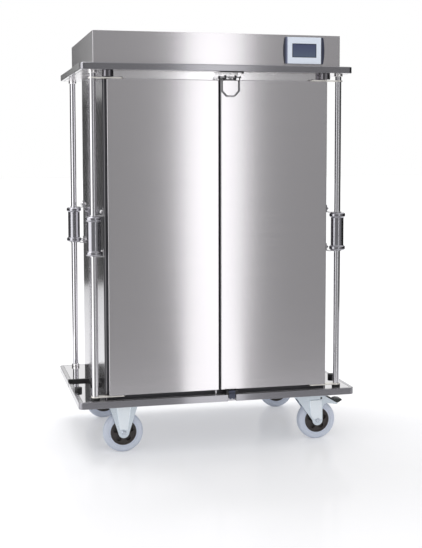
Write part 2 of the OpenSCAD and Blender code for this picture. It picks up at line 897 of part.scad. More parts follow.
module display_trims() {
    r = (disp_h * disp_h / 4 + disp_sag * disp_sag) / (2 * disp_sag);
    color("#2b3350") for (s = [-1, 1]) translate([disp_x, hood_front, disp_z]) on_side(s)
        rotate([90, 0, 0]) linear_extrude(disp_t) intersection() {
            translate([disp_w / 2, -disp_h / 2]) square([trim_w, disp_h]);
            translate([disp_w / 2 + trim_w - r, 0]) circle(r, $fn = 160);
        }
}

// ---- casters ----

// The four bolts of each caster
module at_bolts() {
    for (cx = [-caster_x, caster_x], cy = [-caster_y, caster_y], sx = [-1, 1], sy = [-1, 1])
        translate([cx + sx * bolt_at[0], cy + sy * bolt_at[1], 0]) children();
}

module caster_plate(x, y) {
    block([x - cplate[0] / 2, y - cplate[1] / 2, cplate_z],
        [x + cplate[0] / 2, y + cplate[1] / 2, base_z]);
}

module caster_bolts() {
    color(zinc) at_bolts() {
        translate([0, 0, cplate_z - bolt_head[1]]) cylinder(h = bolt_head[1], r = bolt_head[0], $fn = 6);
        translate([0, 0, cplate_z]) cylinder(h = base_z + rail_t - cplate_z, r = bolt_r);
        translate([0, 0, base_z + rail_t]) cylinder(h = bolt_head[1], r = bolt_head[0], $fn = 6);
    }
}

// One leg outline in the XZ plane, cut twice as a pair of legs with round ends at the axle
module leg_pair(outline, axle_x, end_r) {
    for (s = [-1, 1])
        translate([0, s * (leg_in + leg_t / 2), 0]) rotate([90, 0, 0])
            linear_extrude(leg_t, center = true) {
                polygon(outline);
                translate([axle_x, wheel_r]) circle(end_r);
            }
}

module axle(x) {
    translate([x, 0, wheel_r]) rod_y(2 * (leg_in + leg_t) + 6, axle_r);
}

module fixed_forks() {
    top = cplate_z;
    half = [[cplate[0] / 2, top], [fork_mid, top - fork_step],
        [fork_end_r - fork_tuck, wheel_r - axle_r / 2]];
    outline = concat(half, [for (i = [2 : -1 : 0]) [-half[i][0], half[i][1]]]);
    color(zinc) for (s = [-1, 1]) difference() {
        union() {
            caster_plate(-caster_x, s * caster_y);
            translate([-caster_x, s * caster_y, 0]) {
                leg_pair(outline, 0, fork_end_r);
                axle(0);
            }
        }
        at_bolts() translate([0, 0, cplate_z - 1]) cylinder(h = cplate[2] + 2, r = bolt_r);
    }
}

// Top plate, upper race, kingpin and its nut
module swivel_plates() {
    color(zinc) for (s = [-1, 1]) difference() {
        union() {
            caster_plate(caster_x, s * caster_y);
            translate([caster_x, s * caster_y, 0]) {
                translate([0, 0, race_z]) cylinder(h = cplate_z - race_z, r = race_r);
                translate([0, 0, bridge_z - pass]) cylinder(h = cplate_z - bridge_z + pass, r = king_r);
                translate([0, 0, bridge_z - pass - king_nut[1]])
                    cylinder(h = king_nut[1], r = king_nut[0]);
            }
        }
        at_bolts() translate([0, 0, cplate_z - 1]) cylinder(h = cplate[2] + 2, r = bolt_r);
    }
}

// The legs run on behind the wheel as a beak, which the brake pedal swings down between
module swivel_fork() {
    top = bridge_z + bridge_t;
    outline = concat([[-fork_back, top]], [for (p = beak) [p[0], top + p[1]]],
        [[trail + fork_end_r, wheel_r], [trail - fork_end_r, wheel_r]]);
    color(zinc) difference() {
        union() {
            translate([0, 0, top]) cylinder(h = head_t, r = race_r + 2);
            block([-fork_back, -leg_in - leg_t, bridge_z], [fork_bridge, leg_in + leg_t, top]);
            leg_pair(outline, trail, fork_end_r);
            axle(trail);
        }
        translate([0, 0, bridge_z - 1]) cylinder(h = bridge_t + head_t + 2, r = king_r + run);
        translate([brake_x, 0, brake_z]) rod_y(2 * (leg_in + leg_t) + 2, axle_r - 2 + run);
    }
}

// Lever that ends in a turned-up dark paddle, on a cross pin between the fork's legs
module brake_pedal() {
    lever_len = brake_len - paddle_len;
    lever = [[0, -3], [0, 5], [8, 8.5], [36, 10], [lever_len, 1.5], [lever_len, -6]];
    paddle = [[0, -5], [6, -8], [18, -9], [paddle_len, 4.5], [paddle_len - 4, 9.5],
        [15, 9], [4, 4], [0, 1]];
    color("#2e3138") translate([brake_x, 0, brake_z]) {
        rod_y(boss_w, axle_r + 1);
        rod_y(2 * (leg_in + leg_t) + 2, axle_r - 2);
        rotate([90, brake_fall, 0]) {
            linear_extrude(brake_w, center = true) polygon(lever);
            translate([lever_len, 0, 0])
                linear_extrude(paddle_w, center = true) polygon(paddle);
        }
    }
}

module tyre() {
    h = wheel_w / 2;
    color("#8e95a3") rotate([90, 0, 0]) rotate_extrude() polygon([
        [hub_r, -h + 1], [wheel_r - 10, -h], [wheel_r - 3, -h + 3], [wheel_r, -h + 9],
        [wheel_r, h - 9], [wheel_r - 3, h - 3], [wheel_r - 10, h], [hub_r, h - 1]
    ]);
}

// Rim, closed web with broad ribs between round pockets, and a boss that runs on the axle
module hub() {
    h = wheel_w - 2;
    rim = hub_r - hub_rim;
    boss_r = axle_r + 10;
    color("#3b3533") rotate([90, 0, 0]) difference() {
        union() {
            difference() {
                cylinder(h = h, r = hub_r, center = true);
                for (s = [-1, 1]) translate([0, 0, s * h / 2])
                    cylinder(h = 2 * rib_in, r = rim, center = true);
            }
            cylinder(h = boss_w, r = boss_r, center = true);
        }
        for (s = [-1, 1], i = [0 : hub_ribs - 1]) rotate(90 + i * 360 / hub_ribs)
            translate([(rim + boss_r) / 2, 0, s * (h + hub_web + 2) / 4])
                cylinder(h = (h - hub_web) / 2 + 1, r = pocket_r, center = true);
        cylinder(h = boss_w + 2, r = axle_r + run, center = true);
    }
}

module at_fixed(s) { translate([-caster_x, s * caster_y, wheel_r]) children(); }
module at_swivel(s) { translate([caster_x, s * caster_y, 0]) children(); }
module at_trail(s) { at_swivel(s) translate([trail, 0, wheel_r]) children(); }

module swivel_fork_front() { at_swivel(-1) swivel_fork(); }
module swivel_fork_rear() { at_swivel(1) swivel_fork(); }
module brake_pedal_front() { at_swivel(-1) brake_pedal(); }
module brake_pedal_rear() { at_swivel(1) brake_pedal(); }
module tyre_front_left() { at_fixed(-1) tyre(); }
module hub_front_left() { at_fixed(-1) hub(); }
module tyre_rear_left() { at_fixed(1) tyre(); }
module hub_rear_left() { at_fixed(1) hub(); }
module tyre_front_right() { at_trail(-1) tyre(); }
module hub_front_right() { at_trail(-1) hub(); }
module tyre_rear_right() { at_trail(1) tyre(); }
module hub_rear_right() { at_trail(1) hub(); }

base_platform();
base_bumper();
under_frame();
top_platform();
top_bumper();
side_panels();
back_panel();
floor_panel();
roof_panel();
insulation();
compartment_liners();
front_frame();
rail_posts();
tray_ledges();
corner_tubes();
tube_collars();
roller_brackets();
dome_nuts();
lift_stops();
strike_plate();
base_fittings();
hood_housing();
control_unit();
fan_frame();
fan_impeller();
mains_inlet();
display_trims();
display_frame();
display_screen();
door_left_shell();
door_left_core();
door_left_gasket();
door_left_arms();
door_left_pin();
door_right_shell();
door_right_core();
door_right_gasket();
door_right_arms();
latch_eyes();
latch_bail();
foot_pedal();
roller_front_left();
roller_front_right();
roller_rear_left();
roller_rear_right();
fixed_forks();
swivel_plates();
caster_bolts();
swivel_fork_front();
swivel_fork_rear();
brake_pedal_front();
brake_pedal_rear();
tyre_front_left();
hub_front_left();
tyre_rear_left();
hub_rear_left();
tyre_front_right();
hub_front_right();
tyre_rear_right();
hub_rear_right();
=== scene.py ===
import math

import bmesh
import bpy
from mathutils import Matrix, Vector


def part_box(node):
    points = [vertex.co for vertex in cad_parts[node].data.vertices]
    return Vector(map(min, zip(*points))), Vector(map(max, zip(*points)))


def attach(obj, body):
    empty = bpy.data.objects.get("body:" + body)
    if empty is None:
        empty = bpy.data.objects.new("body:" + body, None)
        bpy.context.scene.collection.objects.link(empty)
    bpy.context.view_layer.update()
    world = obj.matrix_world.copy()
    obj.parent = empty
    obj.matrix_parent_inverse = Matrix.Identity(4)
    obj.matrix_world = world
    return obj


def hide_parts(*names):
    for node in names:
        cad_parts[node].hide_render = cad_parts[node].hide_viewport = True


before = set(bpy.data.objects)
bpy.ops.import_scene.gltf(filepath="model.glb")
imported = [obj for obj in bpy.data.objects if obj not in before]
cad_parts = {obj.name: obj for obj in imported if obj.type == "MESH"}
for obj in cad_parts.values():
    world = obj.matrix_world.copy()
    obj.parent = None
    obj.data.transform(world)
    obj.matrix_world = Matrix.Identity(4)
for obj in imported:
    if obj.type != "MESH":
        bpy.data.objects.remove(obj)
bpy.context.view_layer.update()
scene = bpy.context.scene


# ---- Camera ----
# A studio camera a little to the left of the cart at about shoulder height, turned to the
# right and slightly down. The lens is shifted, as a view camera's is, to keep the tubes upright.
lens_data = bpy.data.cameras.new("studio_camera")
camera = bpy.data.objects.new("studio_camera", lens_data)
scene.collection.objects.link(camera)
scene.camera = camera
scene.view_settings.view_transform = "Standard"
focal_px, drop_px, frame_px, film = 1057.72, 40.76, 422, 36.0
lens_data.sensor_fit = "HORIZONTAL"
lens_data.sensor_width = film
lens_data.lens = film * focal_px / frame_px
lens_data.shift_y = -drop_px / frame_px
camera.matrix_world = (
    Matrix.Translation((-1.02053, -4.38995, 1.19487))
    @ Matrix.Rotation(math.radians(-13.7201), 4, "Z")
    @ Matrix.Rotation(math.radians(90 - 4.4708), 4, "X")
    @ Matrix.Rotation(math.radians(-0.0866), 4, "Z")
)


# ---- Studio ----
# A white sweep with even light from all round. Steel shows the room about it: grey walls and
# floor in front, a white screen on the left, dark curtains behind, and one tall strip lamp.
def linear(colour):
    """sRGB hex colour as linear RGBA."""
    parts = [int(colour[i : i + 2], 16) / 255 for i in (1, 3, 5)]
    return [c / 12.92 if c <= 0.04045 else ((c + 0.055) / 1.055) ** 2.4 for c in parts] + [1.0]


def add(tree, kind, settings=None, **sockets):
    """Adds a node; a socket is given a value, or another node's output to link."""
    made = tree.nodes.new(kind)
    for key, value in (settings or {}).items():
        setattr(made, key, value)
    for key, value in sockets.items():
        place = int(key[1:]) if key[0] == "_" and key[1:].isdigit() else key.replace("_", " ")
        if isinstance(value, bpy.types.NodeSocket):
            tree.links.new(value, made.inputs[place])
        else:
            made.inputs[place].default_value = value
    return made


def seen_rays(tree):
    """1 for what the camera sees, directly or in a reflection or through glass."""
    path = add(tree, "ShaderNodeLightPath").outputs
    larger = {"operation": "MAXIMUM"}
    both = add(tree, "ShaderNodeMath", larger, _0=path["Is Camera Ray"], _1=path["Is Glossy Ray"])
    both = add(tree, "ShaderNodeMath", larger, _0=both.outputs[0], _1=path["Is Transmission Ray"])
    return both.outputs[0]


room = bpy.data.worlds.new("white_studio")
scene.world = room
room.use_nodes = True
tree = room.node_tree
tree.nodes.clear()
even = add(tree, "ShaderNodeBackground", Color=linear("#ffffff"), Strength=0.86)
white = add(tree, "ShaderNodeBackground", Color=linear("#ffffff"), Strength=1.0)
both = add(tree, "ShaderNodeMixShader", _0=seen_rays(tree), _1=even.outputs[0], _2=white.outputs[0])
add(tree, "ShaderNodeOutputWorld", Surface=both.outputs[0])


def flat_object(name, corners, material):
    """One flat face through four points, which isn't part of the cart."""
    bm = bmesh.new()
    bm.faces.new([bm.verts.new(c) for c in corners])
    mesh = bpy.data.meshes.new(name)
    bm.to_mesh(mesh)
    bm.free()
    mesh.materials.append(material)
    made = bpy.data.objects.new(name, mesh)
    scene.collection.objects.link(made)
    return made


floor_paint = bpy.data.materials.new("white_lacquered_floor")
floor_paint.use_nodes = True
tree = floor_paint.node_tree
tree.nodes.clear()
lacquer = add(tree, "ShaderNodeBsdfPrincipled", Base_Color=linear("#eeeef0"), Roughness=0.13, IOR=1.1)
glow = add(tree, "ShaderNodeEmission", Color=linear("#ffffff"), Strength=0.21)
lit = add(tree, "ShaderNodeAddShader", _0=lacquer.outputs[0], _1=glow.outputs[0])
both = add(tree, "ShaderNodeMixShader", _0=seen_rays(tree), _1=lacquer.outputs[0], _2=lit.outputs[0])
add(tree, "ShaderNodeOutputMaterial", Surface=both.outputs[0])
flat_object("floor", [(-40, -40, 0), (40, -40, 0), (40, 40, 0), (-40, 40, 0)], floor_paint)


def screen_of(name, level, corners, lying=False):
    """A wall, screen or curtain of the room that only reflections show. One lying on the floor
    shows its upper side only, so that the floor under it mirrors the room."""
    paint = bpy.data.materials.new(name)
    paint.use_nodes = True
    tree = paint.node_tree
    tree.nodes.clear()
    glow = add(tree, "ShaderNodeEmission", Color=linear("#ffffff"), Strength=level)
    if lying:
        side = add(tree, "ShaderNodeNewGeometry")
        clear = add(tree, "ShaderNodeBsdfTransparent")
        below = side.outputs["Backfacing"]
        glow = add(tree, "ShaderNodeMixShader", _0=below, _1=glow.outputs[0], _2=clear.outputs[0])
    add(tree, "ShaderNodeOutputMaterial", Surface=glow.outputs[0])
    made = flat_object(name, corners, paint)
    for ray in ("camera", "diffuse", "shadow", "transmission", "volume_scatter"):
        setattr(made, "visible_" + ray, False)


# Upright screens: name, brightness, first and last (x, y), lowest and highest z
for name, level, start, end, z0, z1 in (
    ("wall_front_left", 0.31, (-12, -7), (0.2, -7), 0, 5),
    ("wall_front_right", 0.42, (0.2, -7), (4.5, -7), 0, 5),
    ("wall_far_right", 0.62, (4.5, -7), (12, -7), 0, 5),
    ("screen_left", 2.2, (-1.5, -1.17), (-1.5, 0.03), 0, 3.2),
    ("curtain_left", 0.12, (-2.6, -0.4), (-2.6, 5), 0, 3.5),
    ("curtain_rear_left", 0.075, (-4, 5), (-0.75, 5), 0, 1.65),
    ("wall_rear_left", 0.48, (-4, 5), (-1.12, 5), 1.65, 4),
    ("pillar_rear_left", 0.13, (-1.12, 5), (-0.66, 5), 1.65, 4),
    ("wall_right", 0.24, (4, -5.5), (4, -2.2), 0, 3),
    ("curtain_right", 0.02, (4, -2.2), (4, 6), 0, 3),
):
    screen_of(name, level, [(*start, z0), (*end, z0), (*end, z1), (*start, z1)])
# Lying ones, the second over the first: name, brightness, height and corners
for name, level, z, corners in (
    ("carpet_front", 0.40, 0.004, [(-7, -7), (9, -7), (9, -1.1), (-7, -1.1)]),
    ("lamp_glow", 1.8, 0.006, [(0.937, -5.2), (1.447, -5.2), (0.139, -0.5), (-0.119, -0.5)]),
):
    screen_of(name, level, [(x, y, z) for x, y in corners], lying=True)


def lamp(name, at, aim, width, height, power):
    """A softbox turned towards a point."""
    data = bpy.data.lights.new(name, "AREA")
    data.shape = "RECTANGLE"
    data.size, data.size_y, data.energy = width, height, power
    made = bpy.data.objects.new(name, data)
    scene.collection.objects.link(made)
    made.location = at
    made.rotation_euler = (Vector(aim) - Vector(at)).to_track_quat("-Z", "Y").to_euler()
    made.visible_camera = False


lamp("strip_lamp", (1.204, -5.25, 1.3), (-0.05, -0.36, 1.3), 0.55, 4.2, 13.5)
lamp("top_lamp", (-0.6, 1.5, 4.2), (0, 0, 0.6), 2.5, 2.0, 62)


# ---- Base and top platforms ----
# Folded pans of polished stainless sheet. Each has an edge bumper of extruded dark anodised
# aluminium pushed over its flange, and the base a channel frame of zinc-plated steel under it.
def principled(name, **sockets):
    """A new material with one Principled shader."""
    made = bpy.data.materials.new(name)
    made.use_nodes = True
    made.node_tree.nodes.clear()
    shader = add(made.node_tree, "ShaderNodeBsdfPrincipled", **sockets)
    add(made.node_tree, "ShaderNodeOutputMaterial", Surface=shader.outputs[0])
    return made, made.node_tree, shader


def polished(name, colour, roughness):
    """Polished metal: a mirror with a faint cloudiness from the polishing wheel."""
    made, tree, shader = principled(name, Base_Color=linear(colour), Metallic=1.0)
    place = add(tree, "ShaderNodeTexCoord")
    cloud = add(tree, "ShaderNodeTexNoise", Vector=place.outputs["Object"], Scale=14.0, Detail=3.0)
    rough = add(
        tree, "ShaderNodeMapRange", Value=cloud.outputs["Fac"], To_Min=roughness * 0.7, To_Max=roughness * 1.4
    )
    tree.links.new(rough.outputs[0], shader.inputs["Roughness"])
    return made


def wear(node, material):
    """Gives a CAD part its real surface."""
    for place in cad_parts[node].material_slots:
        place.material = material


def piece(name, bm, material, body, *nodes, sharp=35):
    """Makes the mesh an object that rides on a body and stands for the nodes named."""
    mesh = bpy.data.meshes.new(name)
    bm.to_mesh(mesh)
    bm.free()
    mesh.materials.append(material)
    mesh.shade_smooth()
    mesh.set_sharp_from_angle(angle=math.radians(sharp))
    made = bpy.data.objects.new(name, mesh)
    scene.collection.objects.link(made)
    flat = made.modifiers.new("flat_faces", "WEIGHTED_NORMAL")
    flat.weight = 100
    flat.keep_sharp = True
    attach(made, body)
    if nodes:
        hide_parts(*nodes)
    return made


def round_edges(bm, size, segments=3, angle=30, chosen=None):
    """Rounds every edge sharper than the angle, or the chosen ones."""
    edges = chosen or [e for e in bm.edges if e.is_manifold and e.calc_face_angle() > math.radians(angle)]
    bmesh.ops.bevel(
        bm, geom=edges, offset=size, offset_type="OFFSET", segments=segments, profile=0.5,
        affect="EDGES", clamp_overlap=True, material=-1,
    )


def from_cad(node):
    """A merged copy of a CAD part, its flat faces joined up again."""
    bm = bmesh.new()
    bm.from_mesh(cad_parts[node].data)
    bmesh.ops.remove_doubles(bm, verts=bm.verts, dist=1e-5)
    bmesh.ops.dissolve_limit(bm, angle_limit=math.radians(0.5), verts=bm.verts, edges=bm.edges)
    return bm


def rounded_cad(node, body, material, size, segments=3, angle=30):
    """The CAD part with its sheared edges rounded."""
    bm = from_cad(node)
    round_edges(bm, size, segments, angle)
    return piece(node + "_rounded", bm, material, body, node)


mirror_steel = polished("stainless_polished", "#d6d5d7", 0.06)
rounded_cad("base_platform", "cabinet", mirror_steel, 0.0006, 2)
satin_steel = polished("stainless_satin", "#f1eff0", 0.24)
rounded_cad("top_platform", "cabinet", satin_steel, 0.0006, 2)

# Anodising over a satin-drawn profile: dark, with fine lines along the length. The lines are
# 0.2 mm apart on the real one and 1.5 mm here, so that they show.
anodised, tree, shader = principled(
    "aluminium_dark_anodised", Metallic=1.0, Roughness=0.24, Anisotropic=0.97, Anisotropic_Rotation=0.25,
    Coat_Weight=0.9, Coat_Roughness=0.12, Coat_IOR=1.7,
)
place = add(tree, "ShaderNodeTexCoord")
stretch = add(tree, "ShaderNodeMapping", Vector=place.outputs["Object"], Scale=(3, 3, 700))
line = add(tree, "ShaderNodeTexNoise", Vector=stretch.outputs[0], Scale=1.0, Detail=3.0)
tone = add(tree, "ShaderNodeValToRGB", Fac=line.outputs["Fac"])
tone.color_ramp.elements[0].color = linear("#7f7e83")
tone.color_ramp.elements[1].color = linear("#8b8a90")
turn = add(tree, "ShaderNodeTangent", {"direction_type": "RADIAL", "axis": "Z"})
tree.links.new(tone.outputs[0], shader.inputs["Base Color"])
tree.links.new(turn.outputs[0], shader.inputs["Tangent"])
for node in ("base_bumper", "top_bumper"):
    rounded_cad(node, "cabinet", anodised, 0.0028, 4, 40)


def plated(name, dark, light, roughness):
    """Zinc-plated or blasted steel: a fine cloudy crystal pattern, about 15 mm across."""
    made, tree, shader = principled(name, Metallic=1.0)
    place = add(tree, "ShaderNodeTexCoord")
    cloud = add(tree, "ShaderNodeTexNoise", Vector=place.outputs["Object"], Scale=66.0, Detail=5.0)
    tone = add(tree, "ShaderNodeValToRGB", Fac=cloud.outputs["Fac"])
    tone.color_ramp.elements[0].color = linear(dark)
    tone.color_ramp.elements[1].color = linear(light)
    rough = add(
        tree, "ShaderNodeMapRange", Value=cloud.outputs["Fac"],
        To_Min=roughness - 0.06, To_Max=roughness + 0.08,
    )
    tree.links.new(tone.outputs[0], shader.inputs["Base Color"])
    tree.links.new(rough.outputs[0], shader.inputs["Roughness"])
    return made


zinc = plated("steel_bright_zinc_plated", "#bdc4cf", "#d6dce4", 0.34)
rounded_cad("under_frame", "cabinet", zinc, 0.0008, 2)


# ---- Cabinet ----
# Insulated walls: brushed sheet outside, foam between and seamless linings inside. The front
# edges of the side walls are folded round a frame of grey powder-coated bars.
def brushed(name, colour, shade, roughness, anisotropy):
    """Sheet brushed crosswise on a belt: light spreads up and down, so upright bands stay
    upright. The real lines are 0.1 mm apart; these are 4 mm, so that they show at all."""
    made, tree, shader = principled(
        name, Metallic=1.0, Roughness=roughness, Anisotropic=anisotropy, Anisotropic_Rotation=0.25
    )
    place = add(tree, "ShaderNodeTexCoord")
    stretch = add(tree, "ShaderNodeMapping", Vector=place.outputs["Object"], Scale=(2.5, 2.5, 260))
    streak = add(tree, "ShaderNodeTexNoise", Vector=stretch.outputs[0], Scale=1.0, Detail=4.0, Roughness=0.65)
    tone = add(tree, "ShaderNodeValToRGB", Fac=streak.outputs["Fac"])
    tone.color_ramp.elements[0].position, tone.color_ramp.elements[1].position = 0.3, 0.7
    tone.color_ramp.elements[0].color = linear(shade)
    tone.color_ramp.elements[1].color = linear(colour)
    rough = add(
        tree, "ShaderNodeMapRange", Value=streak.outputs["Fac"],
        To_Min=roughness - 0.012, To_Max=roughness + 0.016,
    )
    bump = add(tree, "ShaderNodeBump", Strength=0.02, Distance=0.0003, Height=streak.outputs["Fac"])
    turn = add(tree, "ShaderNodeTangent", {"direction_type": "RADIAL", "axis": "Z"})
    tree.links.new(tone.outputs[0], shader.inputs["Base Color"])
    tree.links.new(rough.outputs[0], shader.inputs["Roughness"])
    tree.links.new(bump.outputs[0], shader.inputs["Normal"])
    tree.links.new(turn.outputs[0], shader.inputs["Tangent"])
    return made


door_steel = brushed("stainless_brushed_crosswise", "#c9c6c9", "#c4c2c5", 0.2225, 0.98)
wall_steel = brushed("stainless_brushed_walls", "#c9c7ca", "#c4c3c6", 0.14, 0.7)
lining_steel = brushed("stainless_lining", "#cbcacc", "#c3c2c5", 0.28, 0.6)
for node in ("side_panels", "back_panel", "floor_panel"):
    rounded_cad(node, "cabinet", wall_steel, 0.0005, 2)
# The fascia over the doors is the doors' brushed sheet in a lighter colour: a painted highlight.
fascia_steel_painted_highlight = brushed("stainless_brushed_fascia_painted_highlight", "#e6e4e6", "#e2e0e3", 0.2218, 0.889)
rounded_cad("roof_panel", "cabinet", fascia_steel_painted_highlight, 0.0006, 2)
wear("compartment_liners", lining_steel)
rounded_cad("rail_posts", "cabinet", mirror_steel, 0.001, 2)
rounded_cad("tray_ledges", "cabinet", mirror_steel, 0.001, 2)

foam, tree, shader = principled("polyurethane_rigid_foam", Roughness=0.9)
place = add(tree, "ShaderNodeTexCoord")
cells = add(tree, "ShaderNodeTexVoronoi", Vector=place.outputs["Object"], Scale=900.0)
tone = add(tree, "ShaderNodeValToRGB", Fac=cells.outputs["Distance"])
tone.color_ramp.elements[0].color = linear("#d8cb94")
tone.color_ramp.elements[1].color = linear("#ebe2ba")
tree.links.new(tone.outputs[0], shader.inputs["Base Color"])
wear("insulation", foam)


def grained(name, dark, light, roughness, size, height):
    """Moulded plastic, rubber or powder coat: a fine pebble grain, size in metres."""
    made, tree, shader = principled(name, Roughness=roughness)
    place = add(tree, "ShaderNodeTexCoord")
    pebble = add(tree, "ShaderNodeTexNoise", Vector=place.outputs["Object"], Scale=1 / size, Detail=3.0)
    tone = add(tree, "ShaderNodeValToRGB", Fac=pebble.outputs["Fac"])
    tone.color_ramp.elements[0].color = linear(dark)
    tone.color_ramp.elements[1].color = linear(light)
    rough = add(
        tree, "ShaderNodeMapRange", Value=pebble.outputs["Fac"],
        To_Min=roughness - 0.06, To_Max=roughness + 0.08,
    )
    bump = add(tree, "ShaderNodeBump", Strength=0.3, Distance=height, Height=pebble.outputs["Fac"])
    tree.links.new(tone.outputs[0], shader.inputs["Base Color"])
    tree.links.new(rough.outputs[0], shader.inputs["Roughness"])
    tree.links.new(bump.outputs[0], shader.inputs["Normal"])
    return made


def block(low, high):
    """A plain block between two corners, for the operators that follow."""
    bm = bmesh.new()
    low, high = Vector(low), Vector(high)
    size = Matrix.Diagonal(high - low).to_4x4()
    bmesh.ops.create_cube(bm, size=1.0, matrix=Matrix.Translation((low + high) / 2) @ size)
    return bm


powder_grey = grained("grey_powder_coat", "#424247", "#4e4e54", 0.42, 0.0015, 0.0001)
rounded_cad("front_frame", "cabinet", powder_grey, 0.0008, 2)
frame_low, frame_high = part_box("front_frame")
fold = 0.0062
for side, x in (("left", frame_low.x), ("right", frame_high.x)):
    inner = x + math.copysign(fold + 0.0008, -x)
    bm = block(
        (min(x, inner), frame_low.y - 0.0002, frame_low.z), (max(x, inner), frame_high.y, frame_high.z)
    )
    outer = [
        e for e in bm.edges
        if all(abs(v.co.x - x) < 1e-5 and v.co.y < frame_low.y for v in e.verts)
    ]
    round_edges(bm, fold - 0.0006, 8, chosen=outer)
    piece("wall_fold_" + side, bm, wall_steel, "cabinet")


# ---- Corner tubes ----
# Polished stainless tube, 25 mm, welded between the platforms. Turned collars close its ends:
# black rubber at the feet of the front pair, which the doors turn on, and satin steel elsewhere.
def turned(profile, centre, axis="Z", segments=48):
    """A profile of (radius, place along the axis) turned about an axis through centre. It
    starts and ends on the axis, or else it is closed by itself."""
    bm = bmesh.new()
    verts = [bm.verts.new((r, 0, along)) for r, along in profile]
    loop = verts[1:] + verts[:1] if profile[0][0] else verts[1:]
    edges = [bm.edges.new(pair) for pair in zip(verts, loop)]
    bmesh.ops.spin(
        bm, geom=verts + edges, cent=(0, 0, 0), axis=(0, 0, 1), angle=math.tau, steps=segments,
        use_merge=True, use_duplicate=False,
    )
    bmesh.ops.remove_doubles(bm, verts=bm.verts, dist=1e-6)
    bmesh.ops.recalc_face_normals(bm, faces=bm.faces)
    lay = {"X": Matrix.Rotation(math.radians(90), 4, "Y"), "Y": Matrix.Rotation(math.radians(-90), 4, "X")}
    bm.transform(Matrix.Translation(centre) @ lay.get(axis, Matrix.Identity(4)))
    return bm


tube_low, tube_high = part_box("corner_tubes")
tube_r, tube_wall = 0.0125, 0.0015
tube_x, tube_y = tube_high.x - tube_r, tube_high.y - tube_r
corners = {
    "front_left": (-tube_x, -tube_y, 0), "front_right": (tube_x, -tube_y, 0),
    "rear_left": (-tube_x, tube_y, 0), "rear_right": (tube_x, tube_y, 0),
}
tube_steel = polished("stainless_tube_polished", "#cdccd0", 0.08)
rubber = grained("black_rubber", "#141416", "#1f1f22", 0.5, 0.0012, 0.0001)
collar_low, collar_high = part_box("tube_collars")
collar_r, foot_h, head_h = 0.017, 0.0115, 0.012
for at, centre in corners.items():
    wall = [
        (tube_r, tube_low.z), (tube_r, tube_high.z), (tube_r - tube_wall, tube_high.z),
        (tube_r - tube_wall, tube_low.z),
    ]
    piece("tube_" + at, turned(wall, centre, segments=64), tube_steel, "cabinet", "corner_tubes")
    for end, z0, z1 in (
        ("foot", collar_low.z, collar_low.z + foot_h), ("head", collar_high.z - head_h, collar_high.z)
    ):
        bm = turned([(tube_r, z0), (collar_r, z0), (collar_r, z1), (tube_r, z1)], centre)
        round_edges(bm, 0.0018, 3, 40)
        finish = rubber if end == "foot" and centre[1] < 0 else satin_steel
        piece(f"collar_{end}_{at}", bm, finish, "cabinet", "tube_collars")


# ---- Bumper rollers ----
# Turned aluminium rollers, ground and grey anodised, free to turn on the tubes, with a rounded
# flange at both ends. Polished brackets above and below each are held by dome nuts.
roller_metal = polished("aluminium_grey_anodised", "#a3a2a8", 0.19)
dark_washer = grained("black_fibre", "#1a1a1c", "#28282b", 0.6, 0.001, 0.0001)
roller_low, roller_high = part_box("roller_front_left")
flange_r, barrel_r, bore_r = 0.032, 0.026, tube_r + 0.0003
for at, centre in corners.items():
    z0, z1 = roller_low.z, roller_high.z
    bm = turned(
        [
            (bore_r, z0), (flange_r - 0.005, z0), (flange_r, z0 + 0.004),
            (flange_r, z0 + 0.015), (barrel_r, z0 + 0.019), (barrel_r, z1 - 0.019),
            (flange_r, z1 - 0.015), (flange_r, z1 - 0.004), (flange_r - 0.005, z1),
            (bore_r, z1),
        ],
        centre, segments=64,
    )
    round_edges(bm, 0.0018, 4, 20)
    piece("roller_body_" + at, bm, roller_metal, "roller_" + at, "roller_" + at)
bracket_steel = polished("stainless_pressed", "#d3d2d5", 0.14)
rounded_cad("roller_brackets", "cabinet", bracket_steel, 0.0006, 2, 50)


def mirrored(bm, centre, way):
    """Puts a turned piece in its place, mirrored along each axis where way is -1."""
    bm.transform(Matrix.Translation(centre) @ Matrix.Diagonal((*way, 1)))
    bmesh.ops.recalc_face_normals(bm, faces=bm.faces)


nut_low, nut_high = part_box("dome_nuts")
nut_r, nut_base, washer_r, washer_t = 0.007, 0.003, 0.0085, 0.0008
dome = [(nut_r * math.cos(a), nut_base + nut_r * math.sin(a)) for a in (0, 0.25, 0.5, 0.75, 1.0, 1.25)]
nut_y = nut_high.y - nut_r
for side in (-1, 1):
    start = side * (nut_high.x - nut_base - nut_r)
    for end in (-1, 1):
        for level, z in (("low", nut_low.z + nut_r), ("high", nut_high.z - nut_r)):
            name = f"{level}_{'left' if side < 0 else 'right'}_{'front' if end < 0 else 'rear'}"
            centre = (start, end * nut_y, z)
            bm = turned([(0, 0), (washer_r, 0), (washer_r, washer_t), (0, washer_t)], (0, 0, 0), "X", 24)
            mirrored(bm, centre, (side, 1, 1))
            piece("washer_" + name, bm, dark_washer, "cabinet")
            bm = turned([(0, 0), (nut_r, 0)] + dome + [(0, nut_base + nut_r)], (0, 0, 0), "X", 24)
            mirrored(bm, centre, (side, 1, 1))
            piece("dome_nut_" + name, bm, mirror_steel, "cabinet", "dome_nuts")
